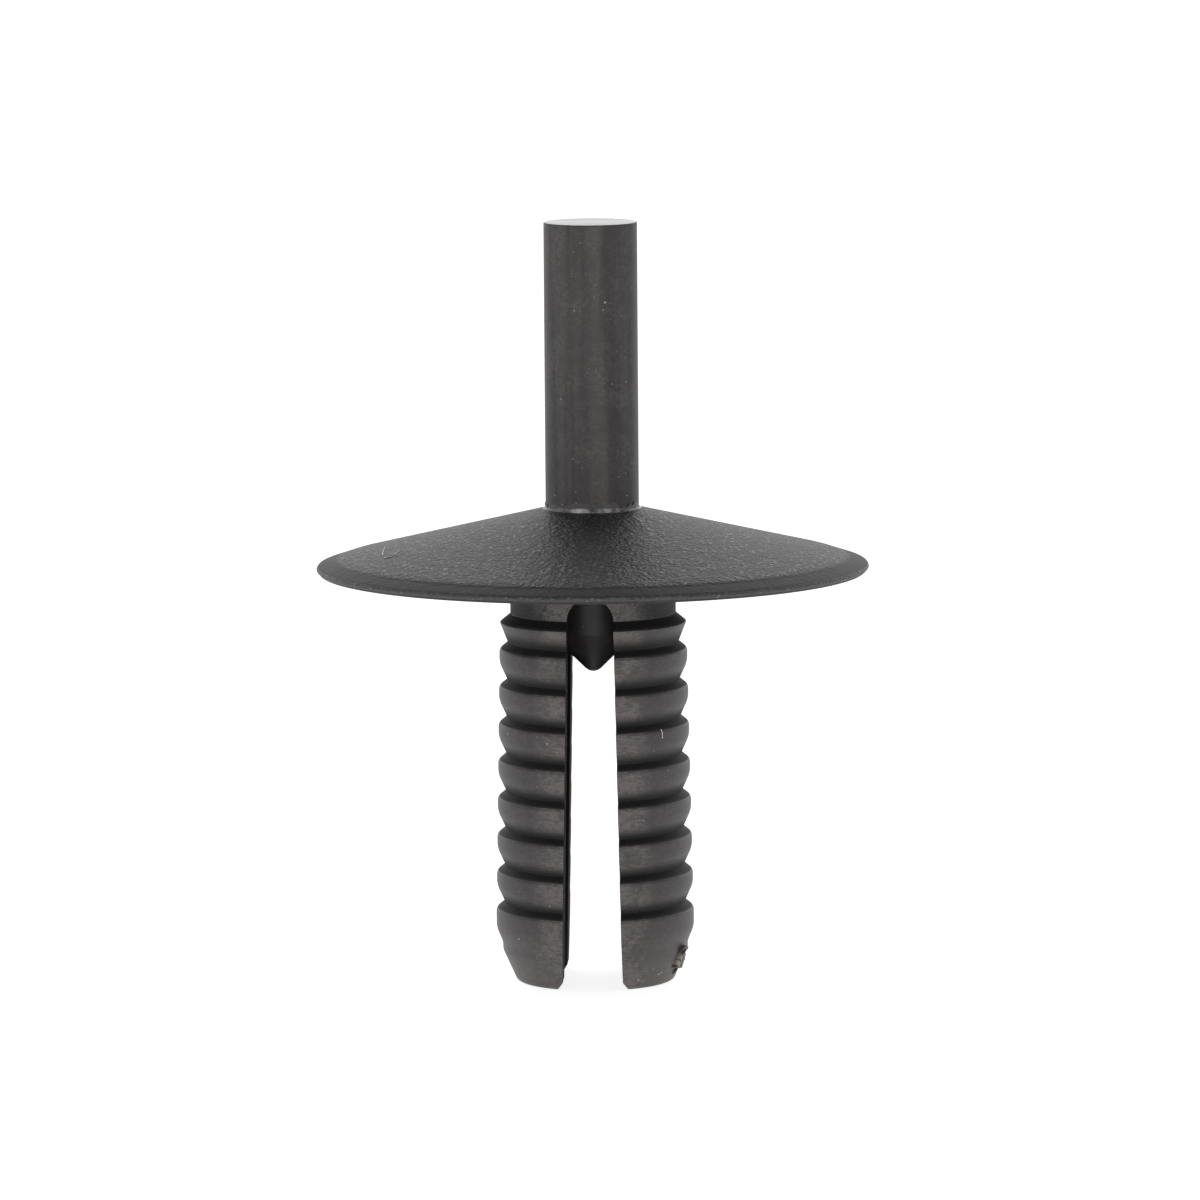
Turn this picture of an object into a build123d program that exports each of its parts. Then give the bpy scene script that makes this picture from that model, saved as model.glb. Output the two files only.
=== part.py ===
"""Plastic push rivet: a broad shallow head on a split, barbed shank, with its drive pin standing proud.

Frame: the shank's axis is Z, the two leg ends stand on z = 0, and the slot between the legs runs along Y.
All sizes are in millimetres and all angles in degrees.
"""

import os
from math import cos, radians, sin, tan

from build123d import *

# Head: a flat seat under a shallow cone that rounds over into a thin rim
head_diameter = 20.0
head_thickness = 2.325  # over the seat, at the edge of the pin hole
rim_thickness = 0.365  # over the seat, where the cone would reach the rim unrounded
rim_round = 0.16  # between the cone and the rim's upright face
parting_height = 0.145  # mould parting line over the seat
seat_inset = 0.08  # the seat's edge lies this far inside the parting line
relief_diameter = 8.4  # shallow dish round the neck, clear of the panel hole's raised edge
relief_depth = 0.15

# Shank: a plain neck, then rings of barbs with their shelves towards the head
neck_diameter = 6.00
neck_length = 1.51
barb_count = 9
barb_pitch = 1.355
barb_depth = 0.285
first_crest_diameter = 6.76
last_crest_diameter = 7.18
first_barb_height = 1.035
shelf_angle = 39.0  # fall of a shelf below the level
ramp_angle = 24.9  # lean of a ramp from the axis
crest_bevel = 0.10  # cut off the corner between shelf and land

# Leg ends: a long last land, a shoulder and a lead-in taper
end_land_height = 0.695
end_ramp_height = 0.55
shoulder_diameter = 6.72
shoulder_height = 0.255
taper_height = 1.16
end_diameter = 5.68
end_round = 0.14

# Slot that splits the shank into two legs, widening downwards because the legs stand slightly apart
slot_width = 1.68
slot_roof = 0.66  # solid neck left between the seat and the slot's round top
slot_draft = 1.08
slot_mouth_flare = 0.20
slot_mouth_height = 0.30

# Gate vestige: a torn stub in a dimple on one leg's taper
gate_azimuth = -18.0
gate_height = 0.86
gate_dimple_diameter = 1.05
gate_dimple_floor = 2.95  # distance of the dimple's floor from the axis
gate_stub_diameter = 0.62
gate_stub_reach = 3.48  # distance of the stub's torn end from the axis
gate_stub_taper = 8.0

# Drive pin: a plain round pin with a blunt cone point, set ready in the bore
pin_diameter = 3.38
pin_length = 16.33
pin_stand_out = 10.36  # over the head, before the pin is driven
pin_edge_chamfer = 0.05
point_angle = 91.0
point_round = 0.40
pin_clearance = 0.05  # radial, so that the pin runs freely in the bore

# Radii
head_radius = head_diameter / 2
neck_radius = neck_diameter / 2
relief_radius = relief_diameter / 2
shoulder_radius = shoulder_diameter / 2
end_radius = end_diameter / 2
pin_radius = pin_diameter / 2
bore_radius = pin_radius + pin_clearance
crest_growth = (last_crest_diameter - first_crest_diameter) / 2 / (barb_count - 1)
crest_radii = [first_crest_diameter / 2 + crest_growth * row for row in range(barb_count)]
root_radii = [crest - barb_depth for crest in crest_radii]

# Heights, from the leg ends up
shelf_fall = tan(radians(shelf_angle))
ramp_height = barb_depth / tan(radians(ramp_angle))
shoulder_top = taper_height + shoulder_height
end_land_bottom = shoulder_top + end_ramp_height
end_barb_top = end_land_bottom + end_land_height + (crest_radii[-1] - root_radii[-2]) * shelf_fall
first_barb_bottom = end_barb_top + (barb_count - 2) * barb_pitch
neck_bottom = first_barb_bottom + first_barb_height
seat_z = neck_bottom + neck_length
relief_z = seat_z + relief_depth
head_top = seat_z + head_thickness
cone_slope = (head_thickness - rim_thickness) / (head_radius - bore_radius)
cone_apex = head_top + cone_slope * bore_radius
pin_top = head_top + pin_stand_out

# Rivet body: head and shank turned about the axis, then bored and split
with BuildPart() as rivet_body:
    with BuildSketch(Plane.XZ):
        with BuildLine():
            FilletPolyline(
                (0, cone_apex),
                (head_radius, seat_z + rim_thickness),
                (head_radius, seat_z + parting_height),
                radius=rim_round,
            )
            Polyline(
                (head_radius, seat_z + parting_height),
                (head_radius - seat_inset, seat_z),
                (relief_radius, seat_z),
                (relief_radius, relief_z),
                (neck_radius, relief_z),
                (neck_radius, neck_bottom),
            )

            # First barb: a sharp ring with no land
            Polyline(
                (neck_radius, neck_bottom),
                (crest_radii[0], neck_bottom - (crest_radii[0] - neck_radius) * shelf_fall),
                (root_radii[0], first_barb_bottom),
            )

            # Middle barbs: shelf, bevelled crest, land and ramp
            for row in range(1, barb_count - 1):
                barb_top = first_barb_bottom - (row - 1) * barb_pitch
                barb_bottom = barb_top - barb_pitch
                bevel_radius = crest_radii[row] - crest_bevel
                bevel_z = barb_top - (bevel_radius - root_radii[row - 1]) * shelf_fall
                Polyline(
                    (root_radii[row - 1], barb_top),
                    (bevel_radius, bevel_z),
                    (crest_radii[row], bevel_z - crest_bevel - crest_bevel * shelf_fall),
                    (crest_radii[row], barb_bottom + ramp_height),
                    (root_radii[row], barb_bottom),
                )

            # End barb, shoulder and lead-in taper
            end_bevel_radius = crest_radii[-1] - crest_bevel
            end_bevel_z = end_barb_top - (end_bevel_radius - root_radii[-2]) * shelf_fall
            Polyline(
                (root_radii[-2], end_barb_top),
                (end_bevel_radius, end_bevel_z),
                (crest_radii[-1], end_bevel_z - crest_bevel - crest_bevel * shelf_fall),
                (crest_radii[-1], end_land_bottom),
                (shoulder_radius, shoulder_top),
                (shoulder_radius, taper_height),
            )
            FilletPolyline((shoulder_radius, taper_height), (end_radius, 0), (0, 0), radius=end_round)
            Line((0, 0), (0, cone_apex))
        make_face()
    revolve(axis=Axis.Z)

    # Bore for the drive pin, right through head and shank
    with Locations((0, 0, cone_apex)):
        Hole(radius=bore_radius)

    # Slot with a full-round top and a flared mouth
    slot_half_width = slot_width / 2
    arch_z = seat_z - slot_roof - slot_half_width
    mouth_half_width = slot_half_width + (arch_z - slot_mouth_height) * tan(radians(slot_draft))
    with BuildSketch(Plane.XZ):
        with BuildLine():
            arch = ThreePointArc((-slot_half_width, arch_z), (0, seat_z - slot_roof), (slot_half_width, arch_z))
            Polyline(
                arch @ 1,
                (mouth_half_width, slot_mouth_height),
                (mouth_half_width + slot_mouth_flare, 0),
                (-mouth_half_width - slot_mouth_flare, 0),
                (-mouth_half_width, slot_mouth_height),
                arch @ 0,
            )
        make_face()
    extrude(amount=head_radius, both=True, mode=Mode.SUBTRACT)

    # Torn gate stub in its dimple
    gate_direction = (cos(radians(gate_azimuth)), sin(radians(gate_azimuth)), 0)
    gate_floor = Plane(
        origin=(gate_dimple_floor * gate_direction[0], gate_dimple_floor * gate_direction[1], gate_height),
        z_dir=gate_direction,
    )
    with BuildSketch(gate_floor):
        Circle(gate_dimple_diameter / 2)
    extrude(amount=shoulder_radius, mode=Mode.SUBTRACT)
    with BuildSketch(gate_floor):
        Circle(gate_stub_diameter / 2)
    extrude(amount=gate_stub_reach - gate_dimple_floor, taper=gate_stub_taper)
rivet_body.part.label = "rivet_body"

# Drive pin
half_point_angle = point_angle / 2
point_cut = point_round / sin(radians(half_point_angle)) - point_round
cone_height = pin_radius / tan(radians(half_point_angle)) - point_cut
pin_bottom = pin_top - pin_length
round_centre_z = pin_bottom + point_round
with BuildPart() as drive_pin:
    with BuildSketch(Plane.XZ):
        with BuildLine():
            point = CenterArc((0, round_centre_z), point_round, -90, 90 - half_point_angle)
            Polyline(
                point @ 1,
                (pin_radius, pin_bottom + cone_height),
                (pin_radius, pin_top - pin_edge_chamfer),
                (pin_radius - pin_edge_chamfer, pin_top),
                (0, pin_top),
                point @ 0,
            )
        make_face()
    revolve(axis=Axis.Z)
drive_pin.part.label = "drive_pin"

os.makedirs("parts", exist_ok=True)
export_step(rivet_body.part, "parts/rivet_body.step")
export_step(drive_pin.part, "parts/drive_pin.step")
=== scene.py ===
"""Looks of a plastic push rivet: a grained head on a split, barbed shank, with its drive pin standing proud.

Everything is in metres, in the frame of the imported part: the shank's axis is Z and the leg ends are at z = 0.
"""

from math import cos, pi, radians, sin, tan

import bmesh
import bpy
from bpy.props import FloatProperty, FloatVectorProperty, IntProperty, PointerProperty
from mathutils import Matrix, Quaternion, Vector, noise


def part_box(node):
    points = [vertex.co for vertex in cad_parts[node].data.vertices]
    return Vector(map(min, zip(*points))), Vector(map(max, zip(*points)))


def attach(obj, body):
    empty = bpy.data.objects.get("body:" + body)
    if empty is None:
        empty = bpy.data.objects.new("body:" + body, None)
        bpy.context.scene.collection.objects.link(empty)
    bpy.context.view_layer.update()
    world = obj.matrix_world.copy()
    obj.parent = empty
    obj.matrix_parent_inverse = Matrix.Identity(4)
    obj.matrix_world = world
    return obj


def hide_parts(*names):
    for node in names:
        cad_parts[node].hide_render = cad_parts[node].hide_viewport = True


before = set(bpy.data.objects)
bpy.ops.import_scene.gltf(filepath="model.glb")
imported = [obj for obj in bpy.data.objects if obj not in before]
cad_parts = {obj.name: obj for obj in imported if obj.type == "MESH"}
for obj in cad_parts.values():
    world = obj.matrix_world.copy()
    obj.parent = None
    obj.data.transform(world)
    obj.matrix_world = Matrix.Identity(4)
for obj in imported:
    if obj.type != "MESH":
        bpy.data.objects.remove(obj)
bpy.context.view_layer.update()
BODY_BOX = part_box("rivet_body")
PIN_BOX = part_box("drive_pin")
MM = 0.001
CREASE = radians(32.0)
TURN_STEPS = 180
PIN_STEPS = 160
LIP_STEPS = 36
CORNER_SEGMENTS = 5
ARCH_SEGMENTS = 16
MERGE_DISTANCE = 1e-7
RUNNING_CLEARANCE = 0.05 * MM

# Unevenness: one seed for the noise vectors, starting points of the patterns, and waves in each metre
NOISE_SEED = 7
WEB_SEED = Vector((2.0, 5.0, 1.0))
STUB_SEED = Vector((3.0, 1.0, 7.0))
STUB_WAVES = 5200.0
LIP_WAVES = 4200.0
FLAKE_WAVES = 30000.0

# Whitened patches of the torn film on its front, partly stress-whitening and partly painted highlight, as
# (aside, front, strength) in millimetres
WHITENED_AND_HIGHLIGHT = (
    (-0.40, -1.74, 1.0),
    (-0.15, -1.78, 0.6),
    (0.50, -1.71, 0.6),
    (0.85, -1.55, 0.4),
    (-1.1, -1.4, 0.3),
)

# Lint in millimetres and degrees: on the head as (aside, front) points, on a leg as (azimuth, height) points
HEAD_LINT = (
    ((-7.48, -0.75), (-7.50, -1.55), (-7.46, -2.40)),
    ((1.55, -1.80), (1.70, -2.05), (1.87, -2.25)),
    ((-7.38, -2.95), (-7.22, -3.20), (-6.98, -2.85), (-6.86, -2.25)),
)
LEG_LINT = (((-42.6, 9.46), (-42.2, 9.32), (-42.8, 9.16)),)
LINT_RADIUS = 0.018 * MM

# Flakes, as (azimuth, height, radius) in degrees and millimetres
LEG_FLAKES = ((-39.5, 0.48, 0.055), (-37.2, 0.53, 0.045), (-57.0, 0.37, 0.045), (-38.0, 7.95, 0.028))
PIN_FLAKES = ((-70.0, 24.85, 0.055), (-62.0, 21.9, 0.030), (-112.0, 19.2, 0.026), (-104.0, 19.1, 0.022))
FLAKE_SHAPE = Matrix.Diagonal((1.0, 0.75, 0.35, 1.0))

# Material slots of the moulded body
SHANK_SKIN, HEAD_GRAIN, SLOT_WALLS, SHELVES = range(4)

# Noise textures, as (waves in each metre, detail, stretch along X, Y and Z)
LEVEL_MARKS = (1400.0, 4.0, (1.0, 1.0, 16.0))
TRACE_OF_GRAIN = (11000.0, 2.0)
LEVEL_STREAKS = (4200.0, 3.0, (1.0, 1.0, 4.0))
RUBS = (900.0, 2.0)
WALL_MARKS = (2500.0, 3.0, (1.0, 1.0, 0.3))
DRAW_MARKS = (2600.0, 3.0, (1.0, 1.0, 0.06))
DRAW_STREAKS = (1500.0, 3.0, (1.0, 1.0, 0.035))
FINE_MARKS = (9000.0, 2.0)
SHEAR_MARKS = (1800.0, 2.0)
CORE_PATCHES = (4200.0, 3.0)
CORE_TEARS = (9000.0, 3.0)
FILM_STREAKS = (2600.0, 3.0, (1.0, 1.0, 0.35))
FILM_CREASES = (5200.0, 2.0, (1.0, 1.0, 0.4))
CRUMBS = (30000.0, 2.0)

# Strength of the surroundings at four heights (sine of the elevation), behind, beside and in front
SKY_PEAK = 4.0
SKY_HEIGHTS = (0.0, 0.34, 0.71, 1.0)
SKY_BEHIND = (1.2, 1.42, 1.5, 0.05)
SKY_BESIDE = (1.0, 0.55, 0.05, 0.05)
SKY_FRONT = (1.7, 0.8, 0.05, 0.05)
FLOOR_GLOW = 0.45
FLOOR_WHITE = 0.8

bl_info = {
    "name": "Push Rivet",
    "version": (1, 0, 0),
    "blender": (4, 5, 0),
    "location": "3D View > Sidebar > Push Rivet",
    "description": "Builds a moulded push rivet with its drive pin, finishes and studio",
    "category": "Object",
}


def length(name, description, millimetres):
    """A length that the sidebar shows in the scene's units."""
    value = millimetres * MM
    return FloatProperty(name=name, description=description, default=value, unit="LENGTH", precision=6)


def slant(name, description, degrees):
    """An angle that the sidebar shows in degrees."""
    value = radians(degrees)
    return FloatProperty(name=name, description=description, default=value, subtype="ANGLE", unit="ROTATION")


def amount(name, description, value):
    """A plain number from 0 up."""
    return FloatProperty(name=name, description=description, default=value, min=0.0, precision=3)


def tint(name, description, red, green, blue):
    """A colour in linear light."""
    colour = (red, green, blue)
    return FloatVectorProperty(
        name=name, description=description, default=colour, subtype="COLOR", size=3, min=0.0, max=1.0
    )


# ---------------------------------------------------------------- sizes and colours


class HeadSizes(bpy.types.PropertyGroup):
    """The broad head and its rim."""

    cone_slope: amount("Cone slope", "Fall of the head's top for each unit outwards", 0.2373)
    fall_radius: length("Fall radius", "Where the top starts to fall more steeply", 9.0)
    rim_slope: amount("Rim slope", "Fall of the top next to the rim for each unit outwards", 0.33)
    fall_round: length("Fall round", "Round where the steeper fall starts", 0.08)
    rim_radius: length("Rim radius", "From the axis to the widest line of the rim", 10.0)
    rim_top_inset: length("Rim top inset", "How far the rim's top edge lies inside its widest line", 0.015)
    rim_round: length("Rim round", "Round between the cone and the rim", 0.09)
    parting_height: length("Parting height", "Widest line of the rim over the seat", 0.145)
    parting_round: length("Parting round", "Softening of the widest line", 0.03)
    seat_inset: length("Seat inset", "How far the seat's edge lies inside the widest line", 0.14)
    relief_radius: length("Relief radius", "Shallow dish round the neck", 4.2)
    relief_depth: length("Relief depth", "Depth of the dish round the neck", 0.15)
    edge_round: length("Edge round", "Softening of the small edges", 0.03)


class ShankSizes(bpy.types.PropertyGroup):
    """The neck, the rings of barbs and the leg ends."""

    neck_radius: length("Neck radius", "Plain neck under the head", 3.00)
    neck_length: length("Neck length", "From the seat to the first barb", 1.51)
    barb_count: IntProperty(name="Barbs", description="Rings of barbs", default=9, min=3)
    barb_pitch: length("Barb pitch", "From one barb to the next", 1.355)
    barb_depth: length("Barb depth", "From a barb's crest to its root", 0.285)
    first_crest_radius: length("First crest radius", "Crest of the barb next to the neck", 3.38)
    last_crest_radius: length("Last crest radius", "Crest of the barb next to the leg ends", 3.59)
    first_barb_height: length("First barb height", "Height of the sharp ring under the neck", 1.035)
    shelf_angle: slant("Shelf angle", "Fall of a barb's shelf below the level", 39.0)
    ramp_angle: slant("Ramp angle", "Lean of a barb's ramp from the axis", 24.9)
    crest_round: length("Crest round", "Round of a barb's crest", 0.10)
    first_crest_round: length("First crest round", "Round of the sharp first crest", 0.035)
    land_round: length("Land round", "Round between a barb's land and its ramp", 0.17)
    root_round: length("Root round", "Round at the foot of a ramp", 0.012)
    end_land_height: length("End land height", "Long land of the last barb", 0.695)
    end_ramp_height: length("End ramp height", "Ramp under the last barb", 0.55)
    shoulder_radius: length("Shoulder radius", "Shoulder over the taper", 3.36)
    shoulder_height: length("Shoulder height", "Height of the shoulder", 0.255)
    taper_height: length("Taper height", "Lead-in taper of the leg ends", 1.16)
    end_radius: length("End radius", "Leg ends at the foot", 2.84)
    end_round: length("End round", "Round at the foot of the legs", 0.15)
    slot_width: length("Slot width", "Width of the slot at its round top", 1.68)
    slot_roof: length("Slot roof", "Solid neck between the seat and the slot", 0.66)
    slot_draft: slant("Slot draft", "Lean of each slot wall", 1.08)
    mouth_flare: length("Mouth flare", "How far each wall opens at the leg ends", 0.20)
    mouth_height: length("Mouth height", "Height of the opened mouth", 0.30)
    leg_lean: slant("Leg lean", "How far each sprung leg leans outwards", 1.15)


class GateSizes(bpy.types.PropertyGroup):
    """The gate's torn stub in its dimple, on one leg's taper."""

    azimuth: slant("Gate direction", "Direction of the gate round the axis", -18.0)
    height: length("Gate height", "Gate's centre over the leg ends", 0.86)
    dimple_radius: length("Dimple radius", "Round dimple that the stub stands in", 0.525)
    dimple_floor: length("Dimple floor", "From the axis to the dimple's floor", 2.95)
    stub_radius: length("Stub radius", "Torn stub at its foot", 0.36)
    stub_reach: length("Stub reach", "From the axis to the torn end", 3.50)
    tear_depth: length("Tear depth", "Unevenness of the torn end", 0.07)
    tear_slant: slant("Tear slant", "Slant of the torn end, nearer the axis at its foot", 20.0)
    lip_arc: slant("Lip arc", "How far the torn lip goes round the dimple", 170.0)
    lip_foot: length("Lip foot", "From the axis to the lip's foot", 3.05)
    lip_reach: length("Lip reach", "From the axis to the lip's edge", 3.52)
    lip_thickness: length("Lip thickness", "Wall of the torn lip", 0.09)


class PinSizes(bpy.types.PropertyGroup):
    """The drive pin and the torn web round its foot."""

    edge_round: length("Edge round", "Round of the pin's top edge", 0.04)
    point_angle: slant("Point angle", "Full angle of the blunt cone point", 91.0)
    point_round: length("Point round", "Nose radius of the point", 0.40)
    shoulder_round: length("Point shoulder round", "Softening where the cone starts", 0.04)
    web_height: length("Web height", "Torn web over the head", 0.38)
    web_thickness: length("Web thickness", "Wall of the torn web at its edge", 0.012)
    web_gap: length("Web gap", "Gap between the pin and the web", 0.008)
    web_foot: length("Web foot", "How far the web's foot lies outside the bore", 0.045)
    web_sink: length("Web sink", "Depth of the web's foot in the head", 0.05)
    web_ripple: length("Web ripple", "Waviness of the torn edge", 0.03)


class Finish(bpy.types.PropertyGroup):
    """Colours and strengths of the finishes."""

    nylon: tint("Nylon", "Colour of the moulded body", 0.034, 0.029, 0.030)
    pin_nylon: tint("Pin nylon", "Colour of the drive pin", 0.013, 0.0105, 0.011)
    # Partly wear and haze, partly painted light: also colours the slot's edge lines, the leg ends and the pin's
    # sheen band
    wear_and_painted_light_nylon: tint("Worn nylon", "Colour of rubbed and hazy places", 0.148, 0.132, 0.129)
    # Painted shade: a darker colour for the slot's walls and the bore, which lie in shade
    shaded_inner_nylon: tint("Inner nylon", "Colour of the slot's walls and the bore", 0.023, 0.021, 0.020)
    sheared_nylon: tint("Sheared nylon", "Colour of the pin's top face", 0.16, 0.155, 0.15)
    # Partly stress-whitening and partly painted highlight, on the torn film
    whitened_and_highlight_nylon: tint("Whitened nylon", "Colour of stretched, torn film", 0.72, 0.70, 0.68)
    # Painted shade: dark colour for the barbs' grooves, the shelves' feet and the neck under the head
    groove_shade_nylon: tint("Groove nylon", "Colour at the foot of the barbs", 0.010, 0.009, 0.009)
    head_nylon: tint("Head nylon", "Colour of the head between the grain's peaks", 0.012, 0.011, 0.011)
    # Partly wear and partly painted highlight: paler colour on the grain's peaks, also used for the rim's
    # painted light from below
    peak_wear_and_highlight_nylon: tint("Grain nylon", "Colour of the head grain's peaks", 0.130, 0.124, 0.122)
    # Painted shade: plain dark colour for the ring next to the rim
    ring_shade_nylon: tint("Rubbed nylon", "Colour of the head's rubbed ring", 0.012, 0.011, 0.011)
    torn_core: tint("Torn core", "Colour of the gate's torn end", 0.42, 0.38, 0.32)
    lint: tint("Lint", "Colour of lint", 0.88, 0.87, 0.86)
    dust: tint("Dust", "Colour of handling dust and flakes", 0.42, 0.40, 0.37)
    grain_size: length("Grain size", "Spacing of the spark-eroded grain", 0.13)
    grain_depth: length("Grain depth", "Depth of the spark-eroded grain", 0.08)
    ring_start: length("Ring start", "Inner radius of the rubbed ring next to the rim", 9.32)
    ring_end: length("Ring end", "Outer radius of the rubbed ring next to the rim", 9.95)
    ring_wear: amount("Ring wear", "Share of the grain that is rubbed off the ring", 0.6)
    valley_roughness: amount("Valley roughness", "Roughness that the grain's valleys add", 0.18)
    ring_roughness: amount("Ring roughness", "Roughness that the rubbed ring adds", 0.1)
    # Painted light from below: paler colour on the rim
    rim_painted_light: amount("Rim haze", "Share of haze on the rim", 0.36)
    # Painted sheen: share of the paler band down the pin's middle
    pin_sheen_band: amount("Pin band", "Share of haze on the pin's rubbed sides", 0.16)
    # Painted light from below: paler colour on the leg ends
    end_painted_light: amount("End haze", "Share of haze on the leg ends", 0.45)
    head_roughness: amount("Head roughness", "Roughness of the grained head's peaks", 0.34)
    shank_roughness: amount("Shank roughness", "Roughness of the satin shank", 0.42)
    pin_roughness: amount("Pin roughness", "Roughness of the pin", 0.44)


class Studio(bpy.types.PropertyGroup):
    """Floor and camera."""

    floor_size: length("Floor size", "Side of the square floor", 3000.0)
    floor_level: length("Floor level", "Floor's height under the leg ends", -0.01)
    floor_colour: tint("Floor colour", "Pale floor", 0.86, 0.86, 0.86)
    distance: length("Camera distance", "From the lens to the aim point", 324.6)
    lens: amount("Lens", "Focal length in millimetres on a 36 mm sensor", 268.8)
    pitch: slant("Camera pitch", "How far the camera looks down", 7.0)
    orbit: slant("Camera orbit", "Camera's turn round the axis", 2.2)
    roll: slant("Camera roll", "Camera's turn round its own line of sight", -0.42)
    aim_height: length("Aim height", "Height of the aim point", 13.89)
    aim_aside: length("Aim aside", "Aim point's distance to the right of the axis", 0.255)


# ---------------------------------------------------------------- turning and cutting


def closed_wire(bm, corners, segments):
    """A closed wire in the XZ plane through corners of (radius, height, round), with each corner rounded."""
    verts = [bm.verts.new((radius, 0.0, height)) for radius, height, _ in corners]
    for start, end in zip(verts, verts[1:] + verts[:1]):
        bm.edges.new((start, end))
    roundings = [corner[2] for corner in corners]
    for rounding in sorted(set(roundings) - {0.0}):
        chosen = [vert for vert, own in zip(verts, roundings) if own == rounding]
        bmesh.ops.bevel(
            bm,
            geom=chosen,
            offset=rounding,
            offset_type="OFFSET",
            segments=segments,
            profile=0.5,
            affect="VERTICES",
            material=-1,
        )


def spin(bm, angle, steps, closed):
    """Sweeps everything in bm round the Z axis."""
    bmesh.ops.spin(
        bm,
        geom=bm.faces[:] + bm.edges[:] + bm.verts[:],
        cent=(0.0, 0.0, 0.0),
        axis=(0.0, 0.0, 1.0),
        dvec=(0.0, 0.0, 0.0),
        angle=angle,
        steps=steps,
        use_merge=closed,
        use_duplicate=False,
    )


def close_up(bm):
    """Joins the verts that meet and turns every face outwards."""
    bmesh.ops.remove_doubles(bm, verts=bm.verts[:], dist=MERGE_DISTANCE)
    bmesh.ops.recalc_face_normals(bm, faces=bm.faces[:])


def turn(bm, steps):
    """Turns everything in bm once round the Z axis into a closed skin."""
    spin(bm, 2.0 * pi, steps, True)
    close_up(bm)


def share(value):
    """value, held between 0 and 1."""
    return min(max(value, 0.0), 1.0)


def to_object(bm, name):
    """A new object at the origin with bm as its mesh."""
    mesh = bpy.data.meshes.new(name)
    bm.to_mesh(mesh)
    bm.free()
    piece = bpy.data.objects.new(name, mesh)
    bpy.context.scene.collection.objects.link(piece)
    return piece


def smooth(piece, crease):
    """Smooth shading that breaks at edges sharper than crease."""
    piece.data.shade_smooth()
    piece.data.set_sharp_from_angle(angle=crease)


def cut(piece, cutter):
    """Cuts cutter out of piece and removes cutter."""
    modifier = piece.modifiers.new("Cut", "BOOLEAN")
    modifier.operation = "DIFFERENCE"
    modifier.solver = "EXACT"
    modifier.object = cutter
    evaluated = piece.evaluated_get(bpy.context.evaluated_depsgraph_get())
    mesh = bpy.data.meshes.new_from_object(evaluated)
    mesh.name = piece.name
    piece.modifiers.clear()
    piece.data = mesh
    bpy.data.objects.remove(cutter)


# ---------------------------------------------------------------- rivet body


def body_section(head, shank):
    """Half-section of the body as (radius, height, round) corners, from the bore's top edge out and down."""
    bore_radius = bore()
    head_top = BODY_BOX[1][2]
    seat_z = shank_heights(shank)["seat"]
    fall_z = head_top - head.cone_slope * (head.fall_radius - bore_radius)
    rim_top_radius = head.rim_radius - head.rim_top_inset
    corners = [
        (bore_radius, head_top, head.edge_round),
        (head.fall_radius, fall_z, head.fall_round),
        (rim_top_radius, fall_z - head.rim_slope * (rim_top_radius - head.fall_radius), head.rim_round),
        (head.rim_radius, seat_z + head.parting_height, head.parting_round),
        (head.rim_radius - head.seat_inset, seat_z, head.edge_round),
        (head.relief_radius, seat_z, head.edge_round),
        (head.relief_radius, seat_z + head.relief_depth, head.edge_round),
        (shank.neck_radius, seat_z + head.relief_depth, head.edge_round),
    ]
    corners += barb_corners(shank)
    corners.append((bore_radius, 0.0, head.edge_round))
    return corners


def bore():
    """Radius of the bore: the pin's, with its running clearance."""
    return PIN_BOX[1][0] + RUNNING_CLEARANCE


def crest_growth(shank):
    """How much a barb's crest stands out over the one before it."""
    return (shank.last_crest_radius - shank.first_crest_radius) / (shank.barb_count - 1)


def shank_heights(shank):
    """Heights of the shank's main levels, from the leg ends up."""
    shelf_fall = tan(shank.shelf_angle)
    shoulder_top = shank.taper_height + shank.shoulder_height
    land_bottom = shoulder_top + shank.end_ramp_height
    end_top = land_bottom + shank.end_land_height + (crest_growth(shank) + shank.barb_depth) * shelf_fall
    first_bottom = end_top + (shank.barb_count - 2) * shank.barb_pitch
    neck_bottom = first_bottom + shank.first_barb_height
    seat = neck_bottom + shank.neck_length
    return {
        "shoulder": shoulder_top,
        "end land": land_bottom,
        "end barb": end_top,
        "first barb": first_bottom,
        "neck": neck_bottom,
        "seat": seat,
        "arch": seat - shank.slot_roof - shank.slot_width / 2,
    }


def barb_corners(shank):
    """Corners of the neck's foot, the barbs and one leg's taper, downwards."""
    heights = shank_heights(shank)
    shelf_fall = tan(shank.shelf_angle)
    ramp_height = shank.barb_depth / tan(shank.ramp_angle)
    crests = [shank.first_crest_radius + crest_growth(shank) * row for row in range(shank.barb_count)]
    roots = [crest - shank.barb_depth for crest in crests]

    first_crest_z = heights["neck"] - (crests[0] - shank.neck_radius) * shelf_fall
    corners = [
        (shank.neck_radius, heights["neck"], shank.root_round),
        (crests[0], first_crest_z, shank.first_crest_round),
        (roots[0], heights["first barb"], shank.root_round),
    ]
    for row in range(1, shank.barb_count - 1):
        barb_top = heights["first barb"] - (row - 1) * shank.barb_pitch
        barb_bottom = barb_top - shank.barb_pitch
        corners += [
            (crests[row], barb_top - (crests[row] - roots[row - 1]) * shelf_fall, shank.crest_round),
            (crests[row], barb_bottom + ramp_height, shank.land_round),
            (roots[row], barb_bottom, shank.root_round),
        ]
    corners += [
        (crests[-1], heights["end barb"] - (crests[-1] - roots[-2]) * shelf_fall, shank.crest_round),
        (crests[-1], heights["end land"], shank.land_round),
        (shank.shoulder_radius, heights["shoulder"], shank.crest_round),
        (shank.shoulder_radius, shank.taper_height, shank.crest_round),
        (shank.end_radius, 0.0, shank.end_round),
    ]
    return corners


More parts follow.
